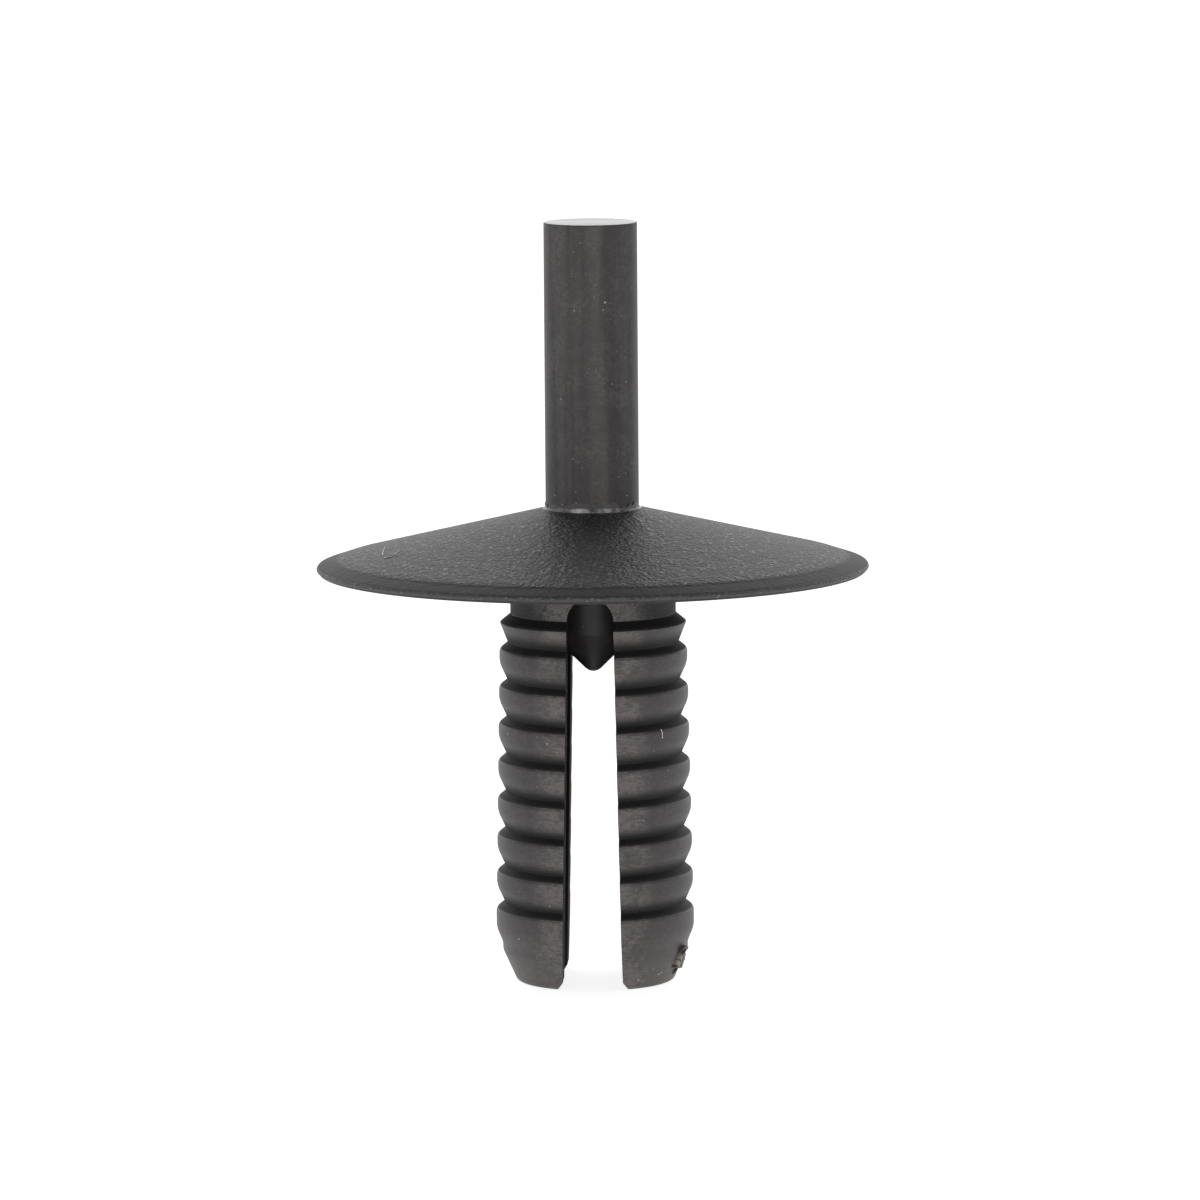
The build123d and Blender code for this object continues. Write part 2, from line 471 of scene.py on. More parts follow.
def slot_cutter(shank):
    """The slot as a solid that runs right through the shank along Y."""
    half_width = shank.slot_width / 2
    heights = shank_heights(shank)
    roof_z = heights["seat"] - shank.slot_roof
    arch_z = heights["arch"]
    mouth = half_width + (arch_z - shank.mouth_height) * tan(shank.slot_draft)
    below = -1.0 * MM
    reach = 5.0 * MM
    arch_round = 0.98 * half_width
    bm = bmesh.new()
    closed_wire(
        bm,
        [
            (-half_width, roof_z, arch_round),
            (half_width, roof_z, arch_round),
            (half_width, arch_z, 0.0),
            (mouth, shank.mouth_height, 0.0),
            (mouth + shank.mouth_flare, 0.0, 0.0),
            (mouth + shank.mouth_flare, below, 0.0),
            (-mouth - shank.mouth_flare, below, 0.0),
            (-mouth - shank.mouth_flare, 0.0, 0.0),
            (-mouth, shank.mouth_height, 0.0),
            (-half_width, arch_z, 0.0),
        ],
        ARCH_SEGMENTS,
    )
    bmesh.ops.translate(bm, verts=bm.verts[:], vec=(0.0, -reach, 0.0))
    outline = bmesh.ops.contextual_create(bm, geom=bm.edges[:])["faces"]
    far_side = bmesh.ops.extrude_face_region(bm, geom=outline)["geom"]
    far_verts = [item for item in far_side if isinstance(item, bmesh.types.BMVert)]
    bmesh.ops.translate(bm, verts=far_verts, vec=(0.0, 2.0 * reach, 0.0))
    bmesh.ops.recalc_face_normals(bm, faces=bm.faces[:])
    return to_object(bm, "slot_cutter")


def gate_matrix(gate, distance):
    """Places a shape that stands along Z at the gate, pointing outwards, at distance from the axis."""
    outwards = Matrix.Rotation(gate.azimuth, 4, "Z") @ Matrix.Rotation(pi / 2, 4, "Y")
    return Matrix.Translation((0.0, 0.0, gate.height)) @ outwards @ Matrix.Translation((0.0, 0.0, distance))


def dimple_cutter(gate):
    """The gate's dimple as a round plug."""
    depth = 2.0 * MM
    bm = bmesh.new()
    bmesh.ops.create_cone(
        bm,
        cap_ends=True,
        segments=48,
        radius1=gate.dimple_radius,
        radius2=gate.dimple_radius,
        depth=depth,
        matrix=gate_matrix(gate, gate.dimple_floor + depth / 2),
    )
    return to_object(bm, "dimple_cutter")


def lean_legs(piece, shank):
    """Lowers each leg's slot side a little, as its spring outwards does."""
    heights = shank_heights(shank)
    lean_starts = 4.0 * MM
    for vert in piece.data.vertices:
        below_arch = share((heights["arch"] - vert.co.z) / lean_starts)
        above_end = share(vert.co.z / heights["end land"])
        inwards = max(shank.last_crest_radius - abs(vert.co.x), 0.0)
        vert.co.z -= inwards * tan(shank.leg_lean) * below_arch * above_end


def split_finishes(piece, shank):
    """Gives every face its material slot, from SHANK_SKIN to SHELVES."""
    heights = shank_heights(shank)
    head_bottom = heights["seat"] + 0.02 * MM
    wall_reach = 1.8 * MM
    bore_reach = bore() + 0.005 * MM
    for face in piece.data.polygons:
        centre, normal = face.center, face.normal
        in_bore = centre.xy.length < bore_reach
        faces_slot = abs(centre.x) < wall_reach and abs(normal.y) < 0.02 and abs(normal.x) > 0.1
        faces_down = normal.z < -0.7
        if in_bore or (faces_slot and centre.z < head_bottom):
            face.material_index = SLOT_WALLS
        elif centre.z > head_bottom and not faces_down:
            face.material_index = HEAD_GRAIN
        elif heights["end land"] < centre.z < heights["neck"] and normal.z > 0.62:
            face.material_index = SHELVES
        else:
            face.material_index = SHANK_SKIN


class OBJECT_OT_rivet_body(bpy.types.Operator):
    """Turn the head and shank, split the shank and set the gate's torn stub"""

    bl_idname = "object.rivet_body"
    bl_label = "Rivet Body"
    bl_options = {"REGISTER", "UNDO"}

    def execute(self, context):
        scene = context.scene
        shank, finish = scene.rivet_shank, scene.rivet_finish
        noise.seed_set(NOISE_SEED)
        bm = bmesh.new()
        closed_wire(bm, body_section(scene.rivet_head, shank), CORNER_SEGMENTS)
        turn(bm, TURN_STEPS)
        moulding = to_object(bm, "moulded_body")
        cut(moulding, slot_cutter(shank))
        cut(moulding, dimple_cutter(scene.rivet_gate))
        lean_legs(moulding, shank)
        moulding.data.materials.clear()
        for material in (
            satin_nylon(finish, shank),
            grained_nylon(finish),
            shaded_inner_nylon(finish),
            shelf_nylon(finish, shank),
        ):
            moulding.data.materials.append(material)
        split_finishes(moulding, shank)
        smooth(moulding, CREASE)
        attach(moulding, "body")
        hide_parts("rivet_body")

        stub = gate_stub(scene.rivet_gate)
        stub.data.materials.append(core_finish(finish))
        lip = gate_lip(scene.rivet_gate)
        lip.data.materials.append(moulding.data.materials[SHANK_SKIN])
        for piece in (stub, lip):
            smooth(piece, CREASE)
            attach(piece, "body")
        return {"FINISHED"}


def gate_stub(gate):
    """A broad stub whose outer end is torn uneven, parallel to the taper."""
    sunk = 0.05 * MM
    narrowing = 0.86
    height = gate.stub_reach - gate.dimple_floor + sunk
    bm = bmesh.new()
    bmesh.ops.create_cone(
        bm,
        cap_ends=True,
        segments=40,
        radius1=gate.stub_radius,
        radius2=gate.stub_radius * narrowing,
        depth=height,
    )
    bmesh.ops.subdivide_edges(bm, edges=bm.edges[:], cuts=4, use_grid_fill=True)
    for vert in bm.verts:
        out = share(vert.co.z / height + 0.5)
        vert.co.z -= out * tan(gate.tear_slant) * (gate.stub_radius + vert.co.x)
        vert.co += noise.noise_vector(vert.co * STUB_WAVES + STUB_SEED) * gate.tear_depth * out
    middle = gate.dimple_floor - sunk + height / 2
    bmesh.ops.transform(bm, matrix=gate_matrix(gate, middle), verts=bm.verts[:])
    bmesh.ops.recalc_face_normals(bm, faces=bm.faces[:])
    return to_object(bm, "gate_stub")


def split_long_edges(bm, shortest, cuts):
    """Divides every edge that is longer than shortest."""
    long_edges = [edge for edge in bm.edges if edge.calc_length() > shortest]
    bmesh.ops.subdivide_edges(bm, edges=long_edges, cuts=cuts)


def gate_lip(gate):
    """A thin ragged lip that the torn gate left standing round the upper half of its dimple."""
    foot = gate.lip_foot
    height = gate.lip_reach - foot
    end_drop = 0.8
    raggedness = 0.6
    bm = bmesh.new()
    closed_wire(
        bm,
        [
            (gate.dimple_radius - gate.lip_thickness, foot, 0.0),
            (gate.dimple_radius - gate.lip_thickness, gate.lip_reach, 0.0),
            (gate.dimple_radius, gate.lip_reach, 0.0),
            (gate.dimple_radius + gate.lip_thickness * 0.5, foot, 0.0),
        ],
        1,
    )
    split_long_edges(bm, 0.12 * MM, 3)
    bmesh.ops.contextual_create(bm, geom=bm.edges[:])
    spin(bm, gate.lip_arc, LIP_STEPS, False)
    upwards = Matrix.Rotation(pi - gate.lip_arc / 2, 3, "Z")
    bmesh.ops.rotate(bm, verts=bm.verts[:], cent=(0.0, 0.0, 0.0), matrix=upwards)
    for vert in bm.verts:
        out = share((vert.co.z - foot) / height)
        middle = min(abs(vert.co.x / gate.dimple_radius), 1.0)
        vert.co.z -= out * (1.0 - middle) * height * end_drop
        vert.co += noise.noise_vector(vert.co * LIP_WAVES + STUB_SEED) * gate.tear_depth * raggedness * out
    bmesh.ops.transform(bm, matrix=gate_matrix(gate, 0.0), verts=bm.verts[:])
    close_up(bm)
    return to_object(bm, "gate_lip")


# ---------------------------------------------------------------- drive pin


def pin_section(pin):
    """Half-section of the pin as (radius, height, round) corners, from the middle of its top down."""
    radius = PIN_BOX[1][0]
    top = PIN_BOX[1][2]
    bottom = PIN_BOX[0][2]
    half_angle = pin.point_angle / 2
    sharp_point = bottom - (pin.point_round / sin(half_angle) - pin.point_round)
    cone_top = sharp_point + radius / tan(half_angle)
    nose_height = pin.point_round * (1.0 - sin(half_angle))
    nose_radius = pin.point_round * cos(half_angle)
    return [
        (0.0, top, 0.0),
        (radius, top, pin.edge_round),
        (radius, cone_top, pin.shoulder_round),
        (nose_radius, bottom + nose_height, 0.0),
        (nose_radius * 0.55, bottom + nose_height * 0.28, 0.0),
        (0.0, bottom, 0.0),
    ]


def open_wire(bm, corners, segments):
    """As closed_wire, but from axis to axis, with no edge along the axis."""
    closed_wire(bm, corners, segments)
    on_axis = [edge for edge in bm.edges if all(abs(vert.co.x) < 1e-9 for vert in edge.verts)]
    bmesh.ops.delete(bm, geom=on_axis, context="EDGES_FACES")


class OBJECT_OT_rivet_pin(bpy.types.Operator):
    """Turn the drive pin and the torn web that it was moulded with"""

    bl_idname = "object.rivet_pin"
    bl_label = "Drive Pin"
    bl_options = {"REGISTER", "UNDO"}

    def execute(self, context):
        scene = context.scene
        finish = scene.rivet_finish
        bm = bmesh.new()
        open_wire(bm, pin_section(scene.rivet_pin), CORNER_SEGMENTS)
        turn(bm, PIN_STEPS)
        pin = to_object(bm, "moulded_pin")
        pin.data.materials.append(pin_finish(finish))
        pin.data.materials.append(sheared_finish(finish))
        for face in pin.data.polygons:
            face.material_index = 1 if face.normal.z > 0.9 else 0
        smooth(pin, CREASE)
        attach(pin, "pin")
        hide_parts("drive_pin")

        web = torn_web(scene.rivet_pin)
        web.data.materials.append(torn_finish(finish))
        smooth(web, CREASE)
        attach(web, "body")
        return {"FINISHED"}


def torn_web(pin):
    """A thin ragged film that stands on the bore's edge and leans on to the pin."""
    broad_ripples, fine_ripples = 6.0, 17.0
    broad_tears, fine_tears = 2.6, 9.0
    deepest_tear = 0.9
    top_radius = PIN_BOX[1][0] + pin.web_gap
    foot_radius = bore() + pin.web_foot
    foot = BODY_BOX[1][2] - pin.web_sink
    bm = bmesh.new()
    closed_wire(
        bm,
        [
            (top_radius, foot, 0.0),
            (top_radius, foot + pin.web_height, 0.0),
            (top_radius + pin.web_thickness, foot + pin.web_height, 0.0),
            (top_radius + pin.web_thickness * 2.0, foot + pin.web_height * 0.35, 0.0),
            (foot_radius, foot + pin.web_sink, 0.0),
            (foot_radius, foot, 0.0),
        ],
        1,
    )
    split_long_edges(bm, 0.1 * MM, 5)
    turn(bm, PIN_STEPS)
    for vert in bm.verts:
        up = max((vert.co.z - foot - pin.web_sink) / pin.web_height, 0.0)
        outwards = vert.co.xy.normalized().to_3d()
        ripple = 0.5 + 0.5 * noise.noise(outwards * broad_ripples + WEB_SEED)
        ripple += 0.3 * noise.noise(outwards * fine_ripples)
        vert.co += outwards * pin.web_ripple * up * max(ripple, 0.0)
        torn = 0.35 + 0.9 * noise.noise(outwards * broad_tears + WEB_SEED)
        torn += 0.35 * noise.noise(outwards * fine_tears)
        vert.co.z -= up * pin.web_height * min(max(torn, 0.0), deepest_tear)
    return to_object(bm, "torn_web")


# ---------------------------------------------------------------- lint and flakes


def touched(carrier, start, direction):
    """Point and normal of the carrier's skin that a line from start meets first."""
    found, place, normal, _ = carrier.ray_cast(start, direction)
    if not found:
        raise RuntimeError("no skin under the lint or flake")
    return place, normal


def on_side(carrier, azimuth, height):
    """Point of carrier's outer skin at an azimuth in degrees and a height in millimetres."""
    outwards = Vector((cos(radians(azimuth)), sin(radians(azimuth)), 0.0))
    well_outside = outwards * 15.0 * MM + Vector((0.0, 0.0, height * MM))
    return touched(carrier, well_outside, -outwards)


def on_top(carrier, aside, front):
    """Point of carrier's upper skin under (aside, front) in millimetres."""
    well_above = Vector((aside * MM, front * MM, BODY_BOX[1][2] + 5.0 * MM))
    return touched(carrier, well_above, Vector((0.0, 0.0, -1.0)))


def add_fibre(bm, points):
    """A thin round fibre through points, as a skin in bm."""
    line = bpy.data.curves.new("fibre", "CURVE")
    line.dimensions = "3D"
    line.bevel_depth = LINT_RADIUS
    line.bevel_resolution = 1
    line.use_fill_caps = True
    spline = line.splines.new("NURBS")
    spline.points.add(len(points) - 1)
    for knot, point in zip(spline.points, points):
        knot.co = (*point, 1.0)
    spline.order_u = 3
    spline.use_endpoint_u = True
    holder = bpy.data.objects.new("fibre", line)
    bpy.context.scene.collection.objects.link(holder)
    skin = bpy.data.meshes.new_from_object(holder.evaluated_get(bpy.context.evaluated_depsgraph_get()))
    bm.from_mesh(skin)
    bpy.data.objects.remove(holder)
    bpy.data.curves.remove(line)
    bpy.data.meshes.remove(skin)


def add_flake(bm, place, normal, radius):
    """A flat uneven flake that lies on a skin."""
    raggedness = 0.25
    lie = normal.to_track_quat("Z", "Y").to_matrix().to_4x4()
    matrix = Matrix.Translation(place) @ lie @ FLAKE_SHAPE
    made = bmesh.ops.create_icosphere(bm, subdivisions=2, radius=radius, matrix=matrix)
    for vert in made["verts"]:
        vert.co += noise.noise_vector(vert.co * FLAKE_WAVES) * radius * raggedness
        for face in vert.link_faces:
            face.material_index = 1


class OBJECT_OT_rivet_lint(bpy.types.Operator):
    """Lay the lint and dust flakes that cling to the moulding and the pin"""

    bl_idname = "object.rivet_lint"
    bl_label = "Lint and Flakes"
    bl_options = {"REGISTER", "UNDO"}

    def execute(self, context):
        moulding = bpy.data.objects["moulded_body"]
        pin = bpy.data.objects["moulded_pin"]
        context.view_layer.update()
        noise.seed_set(NOISE_SEED)
        bm = bmesh.new()
        for points in HEAD_LINT:
            add_fibre(bm, [lifted(*on_top(moulding, *point)) for point in points])
        for points in LEG_LINT:
            add_fibre(bm, [lifted(*on_side(moulding, *point)) for point in points])
        for azimuth, height, radius in LEG_FLAKES:
            add_flake(bm, *on_side(moulding, azimuth, height), radius * MM)
        body_dust = to_object(bm, "body_lint")
        bm = bmesh.new()
        for azimuth, height, radius in PIN_FLAKES:
            add_flake(bm, *on_side(pin, azimuth, height), radius * MM)
        pin_dust = to_object(bm, "pin_flakes")
        fibres = lint_finish(context.scene.rivet_finish)
        flakes = flake_finish(context.scene.rivet_finish)
        for piece, body, slot in ((body_dust, "body", "body_nylon"), (pin_dust, "pin", "pin_nylon")):
            piece.data.materials.append(fibres)
            piece.data.materials.append(flakes)
            smooth(piece, CREASE)
            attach(piece, body)
        return {"FINISHED"}


def lifted(place, normal):
    """A fibre's line lies its own radius over the skin."""
    return place + normal * LINT_RADIUS


# ---------------------------------------------------------------- finishes


def feed(tree, socket, value):
    """Links value to socket where it is a socket itself, and else sets it."""
    if isinstance(value, bpy.types.NodeSocket):
        tree.links.new(value, socket)
    else:
        socket.default_value = value


def math_node(tree, operation, first, second=0.0):
    """A Math node fed by sockets or numbers."""
    node = tree.nodes.new("ShaderNodeMath")
    node.operation = operation
    feed(tree, node.inputs[0], first)
    feed(tree, node.inputs[1], second)
    return node.outputs[0]


def times(tree, first, *others):
    """The product of all values."""
    for value in others:
        first = math_node(tree, "MULTIPLY", first, value)
    return first


def plus(tree, first, *others):
    """The sum of all values."""
    for value in others:
        first = math_node(tree, "ADD", first, value)
    return first


def minus(tree, first, second):
    """second taken from first."""
    return math_node(tree, "SUBTRACT", first, second)


def larger(tree, first, second):
    """The larger of two values."""
    return math_node(tree, "MAXIMUM", first, second)


def rest(tree, value):
    """What value leaves of 1."""
    return minus(tree, 1.0, value)


def rise(tree, value, low, high):
    """0 up to low, 1 from high on, and a soft step between them."""
    node = tree.nodes.new("ShaderNodeMapRange")
    node.interpolation_type = "SMOOTHSTEP"
    node.inputs["From Min"].default_value = low
    node.inputs["From Max"].default_value = high
    tree.links.new(value, node.inputs["Value"])
    return node.outputs["Result"]


def fall(tree, value, low, high):
    """1 up to low, 0 from high on, and a soft step between them."""
    return rest(tree, rise(tree, value, low, high))


def rise_at(tree, value, place, before=0.0, after=0.0):
    """A soft step up that starts before and ends after place, both in millimetres."""
    return rise(tree, value, place - before * MM, place + after * MM)


def vector_node(tree, operation, vector, fixed=None):
    """A Vector Math node on a socket and, where it needs one, a fixed vector."""
    node = tree.nodes.new("ShaderNodeVectorMath")
    node.operation = operation
    tree.links.new(vector, node.inputs[0])
    if fixed:
        node.inputs[1].default_value = fixed
    return node.outputs["Value" if operation == "LENGTH" else "Vector"]


def object_place(tree):
    """The place on the piece, in its Object coordinates."""
    return tree.nodes.new("ShaderNodeTexCoord").outputs["Object"]


def axes_of(tree, vector):
    """A vector's X, Y and Z."""
    node = tree.nodes.new("ShaderNodeSeparateXYZ")
    tree.links.new(vector, node.inputs["Vector"])
    return node.outputs


def axis_distance(tree):
    """Distance from the shank's axis."""
    return vector_node(tree, "LENGTH", vector_node(tree, "MULTIPLY", object_place(tree), (1.0, 1.0, 0.0)))


def object_noise(tree, scale, detail, stretch=(1.0, 1.0, 1.0)):
    """Noise on Object coordinates, stretched by a Mapping node."""
    mapping = tree.nodes.new("ShaderNodeMapping")
    mapping.inputs["Scale"].default_value = stretch
    tree.links.new(object_place(tree), mapping.inputs["Vector"])
    texture = tree.nodes.new("ShaderNodeTexNoise")
    texture.inputs["Detail"].default_value = detail
    tree.links.new(mapping.outputs["Vector"], texture.inputs["Vector"])
    feed(tree, texture.inputs["Scale"], scale)
    return texture.outputs["Fac"]


def mixed_colour(tree, factor, first, second):
    """A colour between first and second."""
    node = tree.nodes.new("ShaderNodeMix")
    node.data_type = "RGBA"
    tree.links.new(factor, node.inputs["Factor"])
    for label, colour in (("A", first), ("B", second)):
        feed(tree, node.inputs[label], colour if isinstance(colour, bpy.types.NodeSocket) else (*colour, 1.0))
    return node.outputs["Result"]


def paint(tree, shader, factor, first, second):
    """Gives the shader a colour between first and second."""
    tree.links.new(mixed_colour(tree, factor, first, second), shader.inputs["Base Color"])


def new_group(name, inputs, outputs):
    """A shader node group with number inputs of (name, default) and number outputs, and its end nodes."""
    group = bpy.data.node_groups.new(name, "ShaderNodeTree")
    for label, value in inputs:
        group.interface.new_socket(label, in_out="INPUT", socket_type="NodeSocketFloat").default_value = value
    for label in outputs:
        group.interface.new_socket(label, in_out="OUTPUT", socket_type="NodeSocketFloat")
    return group, group.nodes.new("NodeGroupInput"), group.nodes.new("NodeGroupOutput")


def grain_group(name):
    """Spark-eroded grain: fine rounded bumps over a coarser unevenness."""
    group, given, result = new_group(name, [("Spacing", 0.15 * MM)], ["Height", "Peaks"])
    scale = math_node(group, "DIVIDE", 1.0, given.outputs["Spacing"])
    fine = object_noise(group, scale, 2.0)
    coarse = object_noise(group, times(group, scale, 0.37), 1.0)
    group.links.new(plus(group, fine, times(group, coarse, 0.8)), result.inputs["Height"])
    # Peaks: where the head's colour is painted paler, partly wear and partly painted highlight
    group.links.new(rise(group, fine, 0.55, 0.72), result.inputs["Peaks"])
    return group


def specks_group(name):
    """Scattered specks of dust, each with a size of its own."""
    group, given, result = new_group(name, [("Spacing", 0.8 * MM), ("Size", 0.05)], ["Mask"])
    cells = group.nodes.new("ShaderNodeTexVoronoi")
    group.links.new(object_place(group), cells.inputs["Vector"])
    group.links.new(math_node(group, "DIVIDE", 1.0, given.outputs["Spacing"]), cells.inputs["Scale"])
    own = group.nodes.new("ShaderNodeSeparateColor")
    group.links.new(cells.outputs["Color"], own.inputs["Color"])
    own_size = times(group, math_node(group, "POWER", own.outputs["Red"], 2.0), given.outputs["Size"])
    inside = math_node(group, "LESS_THAN", cells.outputs["Distance"], own_size)
    group.links.new(times(group, inside, own.outputs["Green"]), result.inputs["Mask"])
    return group


def haze_group(name):
    """Mottled haze that handling leaves on smooth nylon."""
    group, given, result = new_group(name, [("Spacing", 0.6 * MM)], ["Mask"])
    scale = math_node(group, "DIVIDE", 1.0, given.outputs["Spacing"])
    broad = rise(group, object_noise(group, scale, 3.0), 0.35, 0.70)
    fine = rise(group, object_noise(group, times(group, scale, 7.0), 2.0), 0.35, 0.70)
    group.links.new(times(group, broad, fine), result.inputs["Mask"])
    return group


GROUPS = {"Spark Grain": grain_group, "Dust Specks": specks_group, "Handling Haze": haze_group}


def use_group(tree, name, **values):
    """The outputs of a named group's node in tree, with values set by input name."""
    node = tree.nodes.new("ShaderNodeGroup")
    node.node_tree = bpy.data.node_groups.get(name) or GROUPS[name](name)
    for label, value in values.items():
        node.inputs[label].default_value = value
    return node.outputs


def plastic(name, colour, roughness, level=0.5):
    """A material with only its shader, and its node tree and shader."""
    material = bpy.data.materials.new(name)
    material.use_nodes = True
    shader = material.node_tree.nodes["Principled BSDF"]
    shader.inputs["Base Color"].default_value = (*colour, 1.0)
    shader.inputs["Roughness"].default_value = roughness
    shader.inputs["IOR"].default_value = 1.53
    shader.inputs["Specular IOR Level"].default_value = level
    return material, material.node_tree, shader


def bump(tree, height, shader, depth):
    """A Bump node that feeds the shader's normal."""
    node = tree.nodes.new("ShaderNodeBump")
    node.inputs["Strength"].default_value = 1.0
    node.inputs["Distance"].default_value = depth
    tree.links.new(height, node.inputs["Height"])
    tree.links.new(node.outputs["Normal"], shader.inputs["Normal"])


def grained_nylon(finish):
    """Matte nylon with spark-eroded grain whose peaks are paler, partly wear and partly painted highlight, with
    painted shade on a smoother ring and painted light from below on the rim, for the head.
    """
    material, tree, shader = plastic("grained_nylon", finish.head_nylon, finish.head_roughness, level=0.7)
    grain = use_group(tree, "Spark Grain", Spacing=finish.grain_size)
    radius = axis_distance(tree)
    rim = rise_at(tree, radius, finish.ring_end, before=0.02, after=0.02)
    ring = minus(tree, rise_at(tree, radius, finish.ring_start, before=0.16, after=0.10), rim)
    kept = rest(tree, times(tree, ring, finish.ring_wear))
    bump(tree, times(tree, grain["Height"], kept), shader, finish.grain_depth)

    # Paler colour on the grain's peaks: partly wear, partly painted highlight
    peaks = times(tree, grain["Peaks"], rest(tree, ring))
    # Painted light from below on the rim
    pale = larger(tree, peaks, times(tree, rim, finish.rim_painted_light))
    paler_colour = mixed_colour(tree, pale, finish.head_nylon, finish.peak_wear_and_highlight_nylon)
    specks = use_group(tree, "Dust Specks", Spacing=0.42 * MM, Size=0.11)["Mask"]
    dusty = mixed_colour(tree, specks, paler_colour, finish.dust)
    # Painted shade: the ring next to the rim takes a plain dark colour, without pale peaks or specks
    paint(tree, shader, times(tree, ring, 0.85), dusty, finish.ring_shade_nylon)
    in_valleys = times(tree, rest(tree, peaks), finish.valley_roughness)
    on_ring = times(tree, ring, finish.ring_roughness)
    tree.links.new(plus(tree, in_valleys, on_ring, finish.head_roughness), shader.inputs["Roughness"])
    return material


def level_marks(tree):
    """Fine marks that run level round the shank, with a trace of grain."""
    return plus(tree, object_noise(tree, *LEVEL_MARKS), times(tree, object_noise(tree, *TRACE_OF_GRAIN), 0.4))


def depth_under_crests(tree, height, shank):
    """How far a place lies inside the cone that the barbs' crests touch."""
    heights = shank_heights(shank)
    growth = (shank.last_crest_radius - shank.first_crest_radius) / (heights["end land"] - heights["neck"])
    crest = plus(tree, times(tree, minus(tree, height, heights["neck"]), growth), shank.first_crest_radius)
    return minus(tree, crest, axis_distance(tree))


def slot_distance(tree, axes, shank):
    """How far a place lies outside the slot's wall."""
    widening = times(tree, minus(tree, shank_heights(shank)["arch"], axes["Z"]), tan(shank.slot_draft))
    aside = math_node(tree, "ABSOLUTE", axes["X"])
    return minus(tree, minus(tree, aside, widening), shank.slot_width / 2)


def satin_nylon(finish, shank):
    """Satin black nylon with level marks and scuffs by the slot, a paler slot edge that is partly wear and
    partly painted highlight, painted glints, haze with painted light from below on the ends, and painted shade
    in the grooves and on the neck, for the shank.
    """
    material, tree, shader = plastic("satin_nylon", finish.nylon, finish.shank_roughness, level=0.6)
    bump(tree, level_marks(tree), shader, 0.013 * MM)
    heights = shank_heights(shank)
    axes = axes_of(tree, object_place(tree))
    height = axes["Z"]

    # Scuffs beside the slot, with painted glints and a paler line along the slot's edges that is partly wear
    # and partly painted highlight
    from_slot = slot_distance(tree, axes, shank)
    on_shank = rest(tree, rise_at(tree, height, heights["seat"], before=0.06))
    near_slot = times(tree, fall(tree, from_slot, 0.35 * MM, 1.5 * MM), on_shank)
    edge = times(tree, fall(tree, from_slot, 0.015 * MM, 0.06 * MM), on_shank)
    haze = use_group(tree, "Handling Haze", Spacing=0.24 * MM)["Mask"]
    streaks = rise(tree, object_noise(tree, *LEVEL_STREAKS), 0.42, 0.70)
    patchy = plus(tree, haze, times(tree, streaks, 0.55))
    rubs = plus(tree, rise(tree, object_noise(tree, *RUBS), 0.30, 0.62), 0.65)
    scuffs = times(tree, plus(tree, patchy, 0.26), near_slot, rubs)
    # Partly wear and partly painted highlight: a paler line along the slot's edges
    rubbed = larger(tree, scuffs, times(tree, edge, streaks))
    # Painted glints: specks near the slot in the colour of dust
    glints = use_group(tree, "Dust Specks", Spacing=0.15 * MM, Size=0.17)["Mask"]
    glints = times(tree, glints, near_slot, 0.8)

    # Haze a little everywhere, and painted light from below that pales the ends, with dust over it
    ends = fall(tree, height, 0.2 * MM, heights["end barb"] + 0.4 * MM)
    everywhere = plus(tree, times(tree, patchy, 0.23), times(tree, ends, finish.end_painted_light))
    paler_colour = mixed_colour(tree, larger(tree, rubbed, everywhere), finish.nylon, finish.wear_and_painted_light_nylon)
    specks = use_group(tree, "Dust Specks", Spacing=0.38 * MM, Size=0.10)["Mask"]
    dusty = mixed_colour(tree, glints, mixed_colour(tree, specks, paler_colour, finish.dust), finish.dust)

    # Painted shade: dark colour in the grooves and, where it isn't rubbed, on the neck under the head
    neck = rise_at(tree, height, heights["neck"], after=0.05)
    over_ends = rise_at(tree, height, heights["end land"], before=0.1)
    sunk = rise(tree, depth_under_crests(tree, height, shank), shank.barb_depth * 0.25, shank.barb_depth)
    groove_shade = times(tree, sunk, times(tree, rest(tree, neck), over_ends))
    groove_shade = larger(tree, groove_shade, times(tree, neck, minus(tree, 0.72, rubbed)))
    paint(tree, shader, groove_shade, dusty, finish.groove_shade_nylon)
    rough = plus(tree, times(tree, groove_shade, 0.4), finish.shank_roughness, times(tree, scuffs, 0.12))
    tree.links.new(rough, shader.inputs["Roughness"])
    return material


def shelf_nylon(finish, shank):
    """Dull nylon with painted shade, darkest at the foot, for the barbs' shelves."""
    material, tree, shader = plastic("shelf_nylon", finish.groove_shade_nylon, roughness=0.65, level=0.35)
    bump(tree, level_marks(tree), shader, 0.009 * MM)
    depth = depth_under_crests(tree, axes_of(tree, object_place(tree))["Z"], shank)
    foot = rise(tree, depth, 0.0, shank.barb_depth * 0.55)
    haze = times(tree, use_group(tree, "Handling Haze", Spacing=0.4 * MM)["Mask"], 0.3)
    paler_colour = mixed_colour(tree, haze, finish.nylon, finish.wear_and_painted_light_nylon)
    # Painted shade: the shelves darken towards their foot
    paint(tree, shader, foot, paler_colour, finish.groove_shade_nylon)
    return material


def shaded_inner_nylon(finish):
    """Dull black nylon, darker and with a weaker sheen as painted shade, for the slot's walls and the bore."""
    material, tree, shader = plastic("shaded_inner_nylon", finish.shaded_inner_nylon, roughness=0.8, level=0.2)
    bump(tree, object_noise(tree, *WALL_MARKS), shader, 0.01 * MM)
    return material


